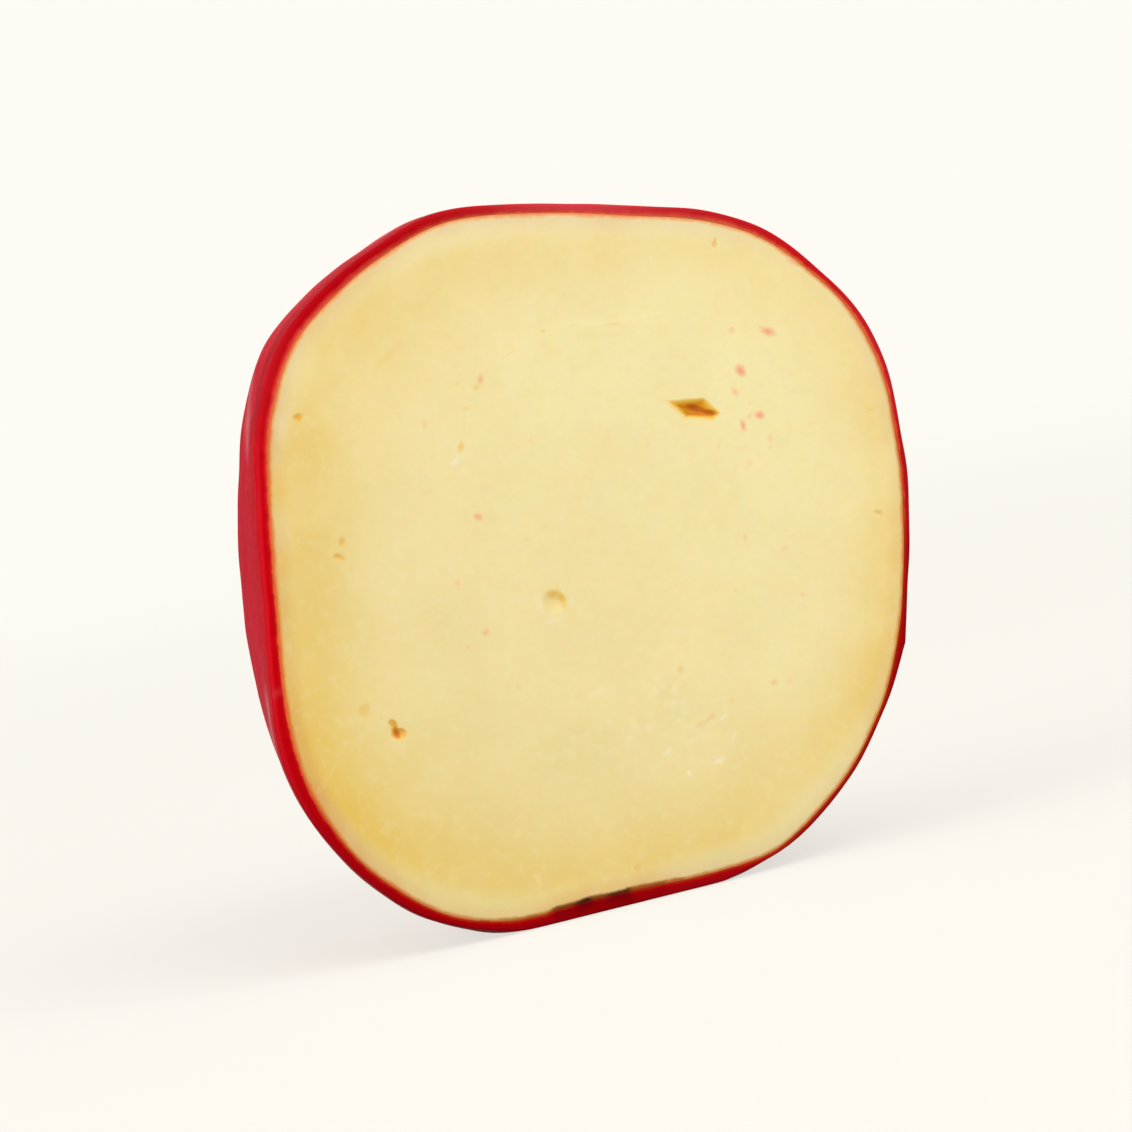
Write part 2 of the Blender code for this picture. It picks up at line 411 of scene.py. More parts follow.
def face_fields(x, z, rim, turn):
    """The face's large colour fields, each from 0 to 1. The pale zone fades out between
    half its width and one and a half times its width."""
    inside = rim - stations(turn, OCHRE_DEPTH)
    ring_width = np.where(inside < 0.0, OCHRE_OUTWARDS, stations(turn, OCHRE_REACH))
    off_x, off_z = x - BALL_CENTRE[0], z - BALL_CENTRE[2]
    painted_paleness = (PAINTED_LIGHT_WAY[0] * off_x + PAINTED_LIGHT_WAY[1] * off_z) / PAINTED_LIGHT_REACH
    return {
        "pale": stations(turn, RIND_PALE) * smooth_step(1.5 - rim / stations(turn, RIND_WIDTH)),
        "ochre": stations(turn, OCHRE_RING) * bell(inside, ring_width),
        "brown": stations(turn, BROWN_EDGE) * smooth_step(1.0 - rim / BROWN_WIDTH),
        # Painted shade: the paste is darker and warmer away from the upper right, where the light comes from.
        "warm": smooth_step(0.5 - painted_paleness),
        "crumbly": crumbliness(x, z),
        "black_edge": np.interp(x, *np.transpose(BLACK_EDGE)) * (z < STAIN_TOP),
        "scorch": np.interp(x, *np.transpose(SCORCH)) * (z < STAIN_TOP),
    }


share, grid_turn = square_disc(FACE_STEPS)
reach = share * paste_edge(grid_turn)
face_x = BALL_CENTRE[0] + reach * np.cos(np.radians(grid_turn))
face_z = BALL_CENTRE[2] + reach * np.sin(np.radians(grid_turn))
face_x, face_z = draw_together(face_x, face_z, share)
off_x, off_z = face_x - BALL_CENTRE[0], face_z - BALL_CENTRE[2]
face_turn = turn_of(off_x, off_z)
rim = paste_edge(face_turn) - np.hypot(off_x, off_z)
rim = np.where(share == 1.0, 0.0, np.maximum(rim, 0.0))
depth = face_depth(face_x, face_z, rim)
face_points = np.stack((face_x, CUT_Y + depth, face_z), axis=-1).reshape(-1, 3)
fields = face_fields(face_x, face_z, rim, face_turn)
fields["rim"] = rim
fields["tint"] = eye_fields(face_x, face_z)[1]
fields["slit"], fields["upper"] = slit_inset(face_x, face_z)


def ring_quads(index):
    """Four-sided faces between each ring of points and the next, all the way round."""
    following = np.roll(index, -1, axis=1)
    return np.stack((index[:-1], index[1:], following[1:], following[:-1]), axis=-1).reshape(-1, 4)


# Faces of the grid, and the points on its border against the clock from lower left.
index = np.arange((FACE_STEPS + 1) ** 2).reshape(FACE_STEPS + 1, FACE_STEPS + 1)
corners = (index[:-1, :-1], index[:-1, 1:], index[1:, 1:], index[1:, :-1])
quads = np.stack(corners, axis=-1).reshape(-1, 4)
border = np.concatenate((index[0, :-1], index[:-1, -1], index[-1, :0:-1], index[:0:-1, 0]))

# The side and the back lie in the wax, so their rings have fewer points.
side_turn = grid_turn.ravel()[border][::SIDE_RATIO]
cut_lean = lean_at(CUT_Y, side_turn, ball_radius)
side_rings = []
for ring in range(1, SIDE_RINGS):
    lean = cut_lean + (90.0 - cut_lean) * ring / SIDE_RINGS
    points = BALL_CENTRE + direction(side_turn, lean) * ball_radius(side_turn, lean)[:, None]
    points[:, 2] = np.maximum(points[:, 2], PASTE_BASE_Z)
    side_rings.append(points)
back = BALL_CENTRE + direction(90.0, 90.0) * ball_radius(np.array(90.0), np.array(90.0))
paste_points = np.concatenate((face_points, *side_rings, back[None]))

# Triangles join the face's border to the side's first ring, and its last ring to the pole.
count = len(side_turn)
first = len(face_points) + np.arange(count)
fans = []
for k in range(SIDE_RATIO):
    near = border[k::SIDE_RATIO]
    far = np.roll(border, -1)[k::SIDE_RATIO]
    fans.append(np.stack((near, first, far), axis=-1))
ahead = np.roll(border, -SIDE_RATIO)[::SIDE_RATIO]
fans.append(np.stack((ahead, first, np.roll(first, -1)), axis=-1))
side_index = first + np.arange(SIDE_RINGS - 1)[:, None] * count
pole = np.full(count, len(paste_points) - 1)
fans.append(np.stack((side_index[-1], pole, np.roll(side_index[-1], -1)), axis=-1))
walls = ring_quads(side_index)
paste_faces = quads.tolist() + walls.tolist() + np.concatenate(fans).tolist()
hidden = len(paste_points) - len(face_points)
fields = {
    label: np.concatenate((values.ravel(), np.zeros(hidden)))
    for label, values in fields.items()
}

paste = mesh_piece("cheese_paste", paste_points, paste_faces, fields, sharp_angle=60.0)
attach(paste, "root")
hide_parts("cheese")

# Settings that repeat: a product, a smooth rise between two limits, and a mix of colours,
# whose sockets go by place, because their names repeat for each kind of data.
TIMES = {"operation": "MULTIPLY"}
SMOOTH = {"interpolation_type": "SMOOTHSTEP"}
COLOURS = {"data_type": "RGBA", "output": 2}
SHARE, UNDER, OVER = 0, 6, 7


def linear(hex_colour):
    """Linear RGBA of an sRGB hex value."""
    values = [int(hex_colour[k : k + 2], 16) / 255.0 for k in (0, 2, 4)]
    steps = [v / 12.92 if v <= 0.04045 else ((v + 0.055) / 1.055) ** 2.4 for v in values]
    return (*steps, 1.0)


def add(tree, kind, sockets=(), output=0, **settings):
    """Adds a node with its settings and gives one of its outputs. Its sockets, by name or
    in their order, each get a value, a hex colour, or a link from another output."""
    node = tree.nodes.new("ShaderNode" + kind)
    for name, value in settings.items():
        setattr(node, name, value)
    given = sockets.items() if isinstance(sockets, dict) else enumerate(sockets)
    for name, value in given:
        if isinstance(value, bpy.types.NodeSocket):
            tree.links.new(value, node.inputs[name])
        else:
            node.inputs[name].default_value = linear(value) if isinstance(value, str) else value
    return node.outputs[output] if node.outputs else None


def new_material(name):
    """Empty node material and its tree."""
    material = bpy.data.materials.new(name)
    material.use_nodes = True
    material.node_tree.nodes.clear()
    return material, material.node_tree


# Crumbs of wax that the knife dragged over the face, soft and half seen through: place
# (x, z), length, width, tilt, strength.
WAX_FLECKS = (
    (49.3, 102.7, 4.8, 2.5, -31, 0.69),
    (42.2, 104.4, 2.5, 2.1, 0, 0.37),
    (42.3, 96.3, 3.9, 2.6, -60, 0.78),
    (40.3, 92.6, 3.4, 2.1, -75, 0.41),
    (44.3, 87.1, 2.9, 2.3, -30, 0.72),
    (40.6, 86, 3.4, 2.1, -95, 0.64),
    (42.3, 87.4, 2.9, 1.4, 25, 0.37),
    (42.9, 90, 1.8, 1.6, 0, 0.18),
    (45.4, 82.4, 2.9, 1.6, 80, 0.32),
    (45.1, 80.6, 1.8, 1.6, 0, 0.28),
    (34.7, 82.9, 2.3, 1.7, 60, 0.23),
    (40.4, 78.5, 2.3, 2, 0, 0.23),
    (52.2, 93.6, 2.3, 1.7, -60, 0.23),
    (-9.1, 105.6, 3.4, 2, 65, 0.51),
    (-21.6, 99.6, 3.4, 2.4, 80, 0.33),
    (-15.1, 80, 2.5, 2.3, 0, 0.58),
    (-21.7, 68.3, 2.9, 1.7, 80, 0.32),
    (-18.2, 58.1, 2.6, 2.2, 0, 0.46),
    (-22.3, 55.9, 2.1, 1.7, 0, 0.28),
    (-14.2, 46.4, 2.6, 1.8, -60, 0.22),
    (36.4, 64.4, 2.6, 1.7, 90, 0.32),
    (44.7, 64.2, 2.1, 1.6, 0, 0.23),
    (43.9, 60.8, 2.2, 1.7, 0, 0.28),
    (32.4, 54.8, 2.2, 1.7, 0, 0.23),
    (45.7, 51.2, 2.5, 1.7, 0, 0.32),
    (36.3, 35.7, 2.6, 2, 0, 0.38),
    (39.5, 35, 2.2, 1.8, 0, 0.28),
    (19.9, 31, 4.7, 1.7, 13, 0.27),
    (20.6, 86.3, 2, 1.7, 0, 0.18),
    (56.9, 114.8, 4.4, 2.1, -50, 0.41),
)

# Small openings, scratches and stains, ochre: the same measures. Some are painted shade instead: those on the
# eyes at (18.3, 42), (-42.2, 80.9) and (-43.4, 78.5), and the three round (-2.5, 61), on the dimple's
# upper-right wall, which faces away from the light.
OCHRE_MARKS = (
    (-14.1, 97.8, 5.5, 0.9, 76, 0.3),
    (-13.1, 100.7, 3.4, 1.6, 0, 0.35),
    (-13.8, 105.7, 2, 1.6, 0, 0.35),
    (-10.2, 104.3, 2.4, 1.8, 0, 0.45),
    (-1.9, 92.2, 1.8, 1.6, 0, 0.3),
    (-15.5, 93.7, 3.6, 2.2, 65, 0.4),
    (18.3, 42, 2.6, 2.2, 90, 0.3),
    (-42.2, 80.9, 3.4, 2.2, 75, 0.3),
    (-43.4, 78.5, 3.8, 2.2, -30, 0.3),
    (-51.9, 93.4, 13, 7, 80, 0.42),
    (-54.2, 79.8, 8, 5.5, 84, 0.34),
    (66.8, 83.3, 2.6, 0.8, -12, 0.5),
    (63, 38.5, 4.6, 2.6, 65, 0.8),
    (27, 34, 2.4, 1.6, 50, 0.3),
    (-26, 113.8, 14, 3.2, 33, 0.28),
    (-3.5, 62.3, 4.6, 2.8, -12, 0.75),
    (-2.3, 61.2, 4.6, 2.4, -62, 0.75),
    (-1.9, 59.8, 3.2, 2, 88, 0.5),
    (-2.7, 109.2, 5.5, 0.9, 20, 0.3),
    (5, 112.1, 2.2, 1.2, 0, 0.45),
    (11, 111.8, 4, 1, 5, 0.25),
    (19, 110.5, 5.5, 1.3, -8, 0.4),
    (28, 110, 6, 0.9, -5, 0.25),
    (34.5, 109, 5, 0.8, -8, 0.2),
)

# Painted shade in the bottoms of the slit and of the pore: the same measures.
EYE_BOTTOM_SHADE = (
    (32.1, 91, 6.8, 2.4, -29, 1),
    (34.1, 89.9, 5.4, 2, -18, 0.85),
    (-39.5, 44.4, 3.4, 1.8, -62, 0.3),
    (-39.4, 43, 3.4, 2.2, -76, 0.75),
)

# Pale flecks of dry protein: the same measures. The last three are painted highlight instead: they light the
# dimple's rim, most on its lower left.
PALE_FLECKS = (
    (-17.4, 91.2, 3.4, 1.5, 33, 0.9),
    (24.9, 31.4, 4.2, 1.2, 32, 0.6),
    (26.3, 27.6, 3, 1.2, 65, 0.5),
    (22.3, 23.2, 3.8, 1.5, 5, 0.75),
    (15.7, 22.3, 1.8, 1.8, 0, 0.8),
    (12.3, 27.2, 3.6, 1.6, 25, 0.6),
    (17.6, 28.3, 5, 1.6, 15, 0.4),
    (1.5, 42, 6, 3, 10, 0.3),
    (62, 83, 2, 1.4, 0, 0.4),
    (-49, 104.8, 13, 5, 78, 0.3),
    (-1.5, 108.2, 7, 1.2, 18, 0.3),
    (-6.8, 60.9, 2.4, 6, 0, 0.4),
    (-4.5, 57.2, 6, 2.4, 0, 0.4),
    (-0.2, 60, 1.6, 4, 0, 0.35),
)


# How far behind the face a mark reaches.
MARK_DEPTH = 3.0


def marks(tree, coordinates, places):
    """Strength of the strongest mark at each point. A mark is a ball of fading strength,
    stretched and tilted in the face, and thin square to it."""
    strongest = 0.0
    for x, z, length, width, tilt, strength in places:
        sockets = {
            "Vector": coordinates,
            "Location": (x * MM, CUT_Y * MM, z * MM),
            "Rotation": (0.0, -np.radians(tilt), 0.0),
            "Scale": (0.5 * length * MM, MARK_DEPTH * MM, 0.5 * width * MM),
        }
        placed = add(tree, "Mapping", sockets, vector_type="TEXTURE")
        fading = add(tree, "TexGradient", (placed,), "Fac", gradient_type="SPHERICAL")
        mark = add(tree, "Math", (fading, strength), **TIMES)
        strongest = add(tree, "Math", (strongest, mark), operation="MAXIMUM")
    return strongest


# Semi-hard cheese paste, cut with a knife: smooth and faintly oily, with light sinking about two millimetres
# in. It gives the eye a milky yellow; the orange in the eyes and the darker, warmer lower left are painted
# shade.
material, tree = new_material("semi_hard_cheese_paste")
place = add(tree, "TexCoord", output="Object")
carried = {name: add(tree, "Attribute", output="Fac", attribute_name=name) for name in fields}

# Places moved by up to half a millimetre, so that the marks' outlines come out torn.
jitter = add(tree, "TexNoise", {"Vector": place, "Scale": 1.0 / (1.3 * MM), "Detail": 2.0}, "Color")
jitter = add(tree, "VectorMath", (jitter, (0.5, 0.5, 0.5)), operation="SUBTRACT")
jitter = add(tree, "VectorMath", {0: jitter, "Scale": 0.9 * MM}, operation="SCALE")
torn_place = add(tree, "VectorMath", (place, jitter), operation="ADD")

# Clouds of 16 mm, curds of 2.4 mm and grit of 1.1 mm. The clouds and the curds make the
# large colour fields patchy.
cloud, curd, grit = (
    add(tree, "TexNoise", {"Vector": place, "Scale": 1.0 / (size * MM), "Detail": detail, "Roughness": rough})
    for size, detail, rough in ((16.0, 4.0, 0.5), (2.4, 3.0, 0.6), (1.1, 4.0, 0.6))
)
patchy = add(tree, "MapRange", (cloud, 0.3, 0.7, -0.12, 0.12), **SMOOTH)
# Painted shade towards the lower left, with clouds of random tone in it.
warm = add(tree, "Math", (carried["warm"], patchy), operation="ADD", use_clamp=True)
patches = []
for name, lumps, low, high, least, most in (
    ("ochre", cloud, 0.25, 0.65, 0.75, 1.15),
    ("brown", cloud, 0.3, 0.65, 0.6, 1.1),
    ("pale", curd, 0.2, 0.7, 0.8, 1.0),
):
    patchy = add(tree, "MapRange", (lumps, low, high, least, most), **SMOOTH)
    patches.append(add(tree, "Math", (carried[name], patchy), use_clamp=True, **TIMES))
ochre, brown, pale = patches
# The pale zone is also painted darker towards the lower left: painted shade.
pale_zone = add(tree, "Mix", {SHARE: warm, UNDER: "FCF1C8", OVER: "E8E2AE"}, **COLOURS)
dark_curds = add(tree, "MapRange", (curd, 0.45, 0.75, 0.0, 0.10), **SMOOTH)
pale_curds = add(tree, "MapRange", (curd, 0.5, 0.25, 0.0, 0.14), **SMOOTH)

# Pale grains 2.8 mm apart where the paste tore, and the three kinds of marks on the face:
# from which strength on each is full, and how far it then covers the paste.
grain = add(tree, "TexVoronoi", {"Vector": torn_place, "Scale": 1.0 / (2.8 * MM)})
grain = add(tree, "MapRange", (grain, 0.45, 0.1), **SMOOTH)
grain = add(tree, "Math", (grain, carried["crumbly"]), **TIMES)
patchy = add(tree, "MapRange", (cloud, 0.4, 0.6, 0.0, 0.3), **SMOOTH)
grain = add(tree, "Math", (grain, patchy), **TIMES)
fleck, ochre_mark, wax_crumb = (
    add(tree, "MapRange", (marks(tree, torn_place, places), 0.0, full, 0.0, cover), **SMOOTH)
    for places, full, cover in (
        (PALE_FLECKS, 0.6, 0.5),
        (OCHRE_MARKS, 0.7, 0.75),
        (WAX_FLECKS, 0.75, 0.66),
    )
)

# The slit, from its fringe down its walls, and the dark bottoms of the slit and the pore, all painted light
# and shade: a yellow fringe along its lower rim, the upper walls painted bright as if light shone through the
# paste, the lower walls darker, and painted shade in the bottoms.
slit, upper = carried["slit"], carried["upper"]
lower = add(tree, "MapRange", (upper, 0.7, 0.0), **SMOOTH)
fringe = add(tree, "MapRange", (slit, -0.55, 0.0, 0.0, 0.5), **SMOOTH)
fringe = add(tree, "Math", (fringe, lower), **TIMES)
wall_top = add(tree, "Mix", {SHARE: upper, UNDER: "E0AC34", OVER: "FFCE4C"}, **COLOURS)
wall_foot = add(tree, "Mix", {SHARE: upper, UNDER: "BC7200", OVER: "FFB01A"}, **COLOURS)
past_rim = add(tree, "MapRange", (slit, -0.1, 0.2), **SMOOTH)
down_wall = add(tree, "MapRange", (slit, 0.15, 0.65), **SMOOTH)
bottom_shade = add(tree, "MapRange", (marks(tree, place, EYE_BOTTOM_SHADE), 0.1, 0.6, 0.0, 0.95), **SMOOTH)

# The paste's last millimetre: red from the wax has crept into it, and along the lower edge it is stained
# brown and turns black in places.
ragged = add(tree, "MapRange", (curd, 0.3, 0.7, -0.12, 0.12), **SMOOTH)
edge = add(tree, "Math", (carried["rim"], ragged), operation="ADD")
crept_red = add(tree, "MapRange", (edge, 1.0, 0.1, 0.0, 0.85), **SMOOTH)
stain = add(tree, "MapRange", (edge, STAIN_WIDTH, 0.3 * STAIN_WIDTH), **SMOOTH)
scorch = add(tree, "Math", (stain, carried["scorch"]), **TIMES)
black_edge = add(tree, "Math", (stain, carried["black_edge"]), **TIMES)

# The colours, each laid by its share over those before it.
colour = "FDEEB8"
for share, over in (
    # Painted shade towards the lower left.
    (warm, "EEDEA1"),
    (ochre, "E9BD00"),
    (brown, "D88031"),
    (pale, pale_zone),
    (dark_curds, "E9CC7C"),
    (pale_curds, "FCF3D4"),
    (grain, "FCF3DA"),
    (fleck, "FCF5DC"),
    # Painted shade in the eyes: an ochre tint.
    (carried["tint"], "EDB436"),
    # Painted light and shade in the slit.
    (fringe, "F6C450"),
    (past_rim, wall_top),
    (down_wall, wall_foot),
    (bottom_shade, "CC6C00"),
    (ochre_mark, "F0C23C"),
    (wax_crumb, "FA7268"),
    (crept_red, "EC7616"),
    (scorch, "BC6C1E"),
    (black_edge, "3C1C08"),
):
    colour = add(tree, "Mix", {SHARE: share, UNDER: colour, OVER: over}, **COLOURS)

relief = add(tree, "Math", (grit, 0.03 * MM), **TIMES)
shader = add(tree, "BsdfPrincipled", {
    "Base Color": colour,
    "Roughness": add(tree, "MapRange", (curd, 0.2, 0.8, 0.42, 0.56), **SMOOTH),
    "IOR": 1.45,
    "Specular IOR Level": 0.35,
    "Subsurface Weight": 0.45,
    "Subsurface Radius": (1.0, 0.62, 0.24),
    "Subsurface Scale": 2.2 * MM,
    "Normal": add(tree, "Bump", {"Height": relief, "Strength": 1.0, "Distance": 1.0}),
})
add(tree, "OutputMaterial", {"Surface": shader})
paste.data.materials.append(material)

# ======== The wax coat ========
#
# Red cheese wax, put on by dipping the ball. It set thicker on one side, with a lip at
# one corner and a shallow groove behind the cut. The knife cut it flush and left a clean
# strip round the face.

# Thickness at the cut, and how much the wall behind the cut swells past it: one value
# for every ten degrees of turn.
WAX_THICKNESS = np.array((
    (1.3, 1.2, 1.45, 1.4, 1.65, 1.9, 1.9, 1.95, 1.8, 1.9, 2.15, 2.2),
    (2.4, 2.55, 2.75, 2.7, 2.5, 2.5, 2.45, 2.5, 3.25, 2.7, 1.95, 2.1),
    (1.4, 1.75, 2, 2, 1.65, 0.4, 0.85, 0.8, 0.75, 1.3, 0.95, 1.3),
)).ravel()
WALL_SWELL = np.array((
    (0, 0, 0, 0, 0, 0, 0, 0, 0, -0.1, -0.35, -0.6),
    (-0.85, -0.75, -0.85, -0.75, -0.2, 0.12, 0.18, -0.25, -1.5, -1.5, -1.1, -0.9),
    (-0.4, -0.15, 0, 0, 0.2, 0.25, 0.95, 0.8, 0.7, 0.5, 0.5, 0.4),
)).ravel()

# Leans between which the swell comes in, and between which both even out.
SWELL_LEANS = (-4.0, 10.0)
EVEN_LEANS = (22.0, 75.0)

# How softly the coat meets the level it stands on, the radius of its corner as a share of
# its thickness, and where the corner is softer: how much, at which turn, how far round.
WAX_BASE_SOFTNESS = 0.2
CORNER_SHARE = 0.32
SOFT_CORNER = (0.16, 130.0, 26.0)

# Play between the coat and the paste, and how far behind the cut the inner side starts.
WAX_INNER_PLAY = 0.12
INNER_START = 1.0

# A soft lip of wax ends in a point at one corner of the ball: its turn, its height, its
# reach before and after that turn, and the lean over which it fades.
LIP_TURN = 332.3
LIP_HEIGHT = 0.55
LIP_REACH = (2.6, 4.2)
LIP_FADE_LEAN = 22.0

# A groove in the wall behind the cut, as turns and leans, with a ridge behind it.
GROOVE = np.array((
    (134.5, 0), (136.5, 0.5), (138, 1.5), (141.5, 1),
    (144.5, 1), (147.5, -1.5), (150, -4.5),
))
GROOVE_DEPTH = 0.2
GROOVE_WIDTH = 0.9
RIDGE_LEAN = 4.0
RIDGE_HEIGHT = 0.15
RIDGE_WIDTH = 1.2

# Along a line beside the groove the wax is painted darker: painted shade.
SHADE_LINE = np.array(((104, -4.5), (122, -3.5), (134, -2), (140, 0), (145, -2)))
SHADE_WIDTH = 3.4

# Pale pink patches on the wall, mostly painted sheen where the wax would mirror bright light at a grazing
# angle, partly bloom; the third, along the outline at the upper left, is painted sheen only: strength, width,
# and a line of turns and leans.
SHEEN_AND_BLOOM = (
    (0.65, 3, ((140, 16), (144, 14), (149, 9))),
    (0.85, 3, ((194, 3), (197.5, 7), (203, 12))),
    (0.42, 3.5, ((132, 16), (120, 15), (108, 9))),
)

# A crease across the strip that the knife left, at one turn: only a painted highlight, pale across the strip.
CREASE_TURN = 191.5
CREASE_REACH = 0.8

# The coat's grid: points round it, and rings across the strip, round its corner, up the
# wall (closer together near the cut) and down the inner side.
WAX_TURNS = 700
STRIP_ROWS = 6
CORNER_ROWS = 5
WALL_ROWS = 104
INNER_ROWS = 8
WALL_CROWDING = 1.25

# The strip dips next to the paste (by how much, over what share of its width) and stands
# out further on (by how much, at what share, over what share).
STRIP_DIP = (0.12, 0.3)
STRIP_SWELL = (0.05, 0.6, 0.3)

# Painted shade near the cut: how deep the red is made where dark paste or no light lies behind the wax, and
# where little light falls on it, most along the bottom: one value for every twenty degrees of turn, and how
# far behind the cut it reaches.
SHADED_RED = (
    0.4, 0.15, 0.05, 0.3, 0.1, 0.35, 0.35, 0.05, 0,
    0, 0.2, 0.6, 0.7, 0.85, 0.7, 0.9, 0.85, 0.8,
)
NEAR_CUT = 16.0

# How bright the coat's corner is painted, a painted highlight where it rounds over and painted shade where it
# is dim, how far a pale painted sheen covers the strip that the knife left, strongest along the top where the
# light falls, and how warm the strip is next to the paste: stations as above.
CORNER_HIGHLIGHT = (
    0.5, 0.5, 0.5, 0.2, 0.2, 0.2, 0.1, 0.2, 1,
    1, 1, 0.6, 0.4, 0.4, 0.5, 0.5, 0.4, 0.4,
)
STRIP_SHEEN = (
    0.2, 0.35, 0.15, 0.3, 0.85, 0.15, 0, 0.15, 0,
    0, 0, 0, 0, 0, 0.1, 0.1, 0.1, 0.1,
)
WARM_EDGE = (
    0, 0.1, 0.1, 0.9, 0.4, 0.2, 0.9, 1, 0.3,
    0.1, 0.1, 0, 0, 0, 0, 0, 0, 0,
)

# The y between which the clean red of the cut turns into the skin's.
SKIN_STARTS = CUT_Y + np.array((0.8, 9.0))

# Dents and swells that hands and shelves left: how many, and between which limits their
# size, height and lean lie.
DENTS = 40
DENT_SIZE = (4.0, 10.0)
DENT_HEIGHT = (-0.4, 0.2)
DENT_LEANS = (14.0, 90.0)
DENT_SEED = 21

# Slow ripples all over the coat: height, length and seed.
WAX_RIPPLES = ((0.10, 17.0, 11), (0.04, 7.0, 12))


def line_distance(points, line):
    """Distance from each point to a line of straight pieces."""
    nearest = np.full(points.shape[:-1], np.inf)
    for start, end in zip(line, line[1:]):
        way = end - start
        part = np.clip((points - start) @ way / (way @ way), 0.0, 1.0)
        off = np.linalg.norm(points - start - part[..., None] * way, axis=-1)
        nearest = np.minimum(nearest, off)
    return nearest


def surface_line(turns_and_leans, lean_shift=0.0):
    """Points on the ball at turns and leans."""
    turn, lean = turns_and_leans[:, 0], turns_and_leans[:, 1] + lean_shift
    return BALL_CENTRE + direction(turn, lean) * ball_radius(turn, lean)[:, None]


def wax_relief(turn, lean):
    """Height of the wax's own forms: slow ripples, dents, the lip, the groove and its
    ridge."""
    rays = direction(turn, lean)
    points = BALL_CENTRE + rays * ball_radius(turn, lean)[..., None]
    height = sum(high * ripple(points, length, seed) for high, length, seed in WAX_RIPPLES)
    random = np.random.default_rng(DENT_SEED)
    for _ in range(DENTS):
        spot = direction(random.uniform(0.0, 360.0), random.uniform(*DENT_LEANS))
        off = np.linalg.norm(rays - spot, axis=-1) * BALL_RADII[1]
        size, high = random.uniform(*DENT_SIZE), random.uniform(*DENT_HEIGHT)
        height = height + high * bell(off, size)
    past = around(turn, LIP_TURN)
    lip = np.where(past < 0.0, np.exp(past / LIP_REACH[0]), np.exp(-past / LIP_REACH[1]))
    height = height + LIP_HEIGHT * lip * bell(lean, LIP_FADE_LEAN)
    groove = bell(line_distance(points, surface_line(GROOVE)), GROOVE_WIDTH)
    height = height - GROOVE_DEPTH * groove
    ridge = bell(line_distance(points, surface_line(GROOVE[1:-1], RIDGE_LEAN)), RIDGE_WIDTH)
    return height + RIDGE_HEIGHT * ridge


def wax_radius(turn, lean):
    """Outer radius: the ball's, plus the coat's thickness and its swell behind the cut,
    which even out towards the back, and its own relief."""
    behind = smooth_step((lean - SWELL_LEANS[0]) / (SWELL_LEANS[1] - SWELL_LEANS[0]))
    thickness = stations(turn, WAX_THICKNESS) + behind * stations(turn, WALL_SWELL)
    at_back = smooth_step((lean - EVEN_LEANS[0]) / (EVEN_LEANS[1] - EVEN_LEANS[0]))
    thickness = thickness + at_back * (np.mean(WAX_THICKNESS + WALL_SWELL) - thickness)
    return ball_radius(turn, lean) + thickness + wax_relief(turn, lean)


def settled(points):
    """Points pressed up to the level that the coat stands on: each height z becomes half
    of z + sqrt(z^2 + softness^2)."""
    z = points[..., 2]
    points[..., 2] = 0.5 * (z + np.sqrt(z**2 + WAX_BASE_SOFTNESS**2))
    return points


def wall_ring(turn, lean, radius_at):
    """Ring of points at a lean, at the radius that a function gives."""
    return BALL_CENTRE + direction(turn, lean) * radius_at(turn, lean)[:, None]


def inner_radius(turn, lean):
    """Radius of the coat's inner side, a hair outside the paste."""
    return ball_radius(turn, lean) + WAX_INNER_PLAY


# The rings run from the inner side's pole to the cut, over the strip and back along the
# wall to the outer pole. The strip's share counts 0 to 1 across it and 1 to 2 round the
# corner.
wax_turn = np.arange(WAX_TURNS) * 360.0 / WAX_TURNS
rows, strip_share = [], []
inner_lean = lean_at(CUT_Y + INNER_START, wax_turn, inner_radius)
for row in range(INNER_ROWS, 0, -1):
    lean = inner_lean + (90.0 - inner_lean) * (row - 1) / INNER_ROWS
    points = wall_ring(wax_turn, lean, inner_radius)
    points[:, 2] = np.maximum(points[:, 2], PASTE_BASE_Z - WAX_INNER_PLAY)
    rows.append(points)
    strip_share.append(0.0)

# Across the strip from the paste's edge outwards, then round the corner.
softer = SOFT_CORNER[0] * bell(around(wax_turn, SOFT_CORNER[1]), SOFT_CORNER[2])
corner = (CORNER_SHARE + softer) * stations(wax_turn, WAX_THICKNESS)
wall_lean = lean_at(CUT_Y + corner, wax_turn, wax_radius)
outer_ring = settled(wall_ring(wax_turn, wall_lean, wax_radius))
outwards = outer_ring[:, (0, 2)] - BALL_CENTRE[[0, 2]]
outer_edge = np.linalg.norm(outwards, axis=1)
outwards /= outer_edge[:, None]
inner_edge = paste_edge(turn_of(*outwards.T))


def strip_row(edge, y):
    """Ring of points at a distance from the ball's middle, at one depth."""
    x = BALL_CENTRE[0] + edge * outwards[:, 0]
    z = BALL_CENTRE[2] + edge * outwards[:, 1]
    return np.stack((x, np.broadcast_to(y, x.shape), z), axis=-1)


for row in range(STRIP_ROWS):
    part = row / (STRIP_ROWS - 1)
    edge = inner_edge + (outer_edge - corner - inner_edge) * part
    dip = STRIP_DIP[0] * (1.0 - smooth_step(part / STRIP_DIP[1]))
    swell = STRIP_SWELL[0] * bell(part - STRIP_SWELL[1], STRIP_SWELL[2])
    rows.append(strip_row(edge, CUT_Y + dip - swell))
    strip_share.append(part)
for row in range(1, CORNER_ROWS):
    angle = 0.5 * np.pi * row / CORNER_ROWS
    edge = outer_edge - corner * (1.0 - np.sin(angle))
    rows.append(strip_row(edge, CUT_Y + corner * (1.0 - np.cos(angle))))
    strip_share.append(1.0 + row / CORNER_ROWS)
for row in range(WALL_ROWS):
    lean = wall_lean + (90.0 - wall_lean) * (row / WALL_ROWS) ** WALL_CROWDING
    rows.append(settled(wall_ring(wax_turn, lean, wax_radius)))
    strip_share.append(2.0)

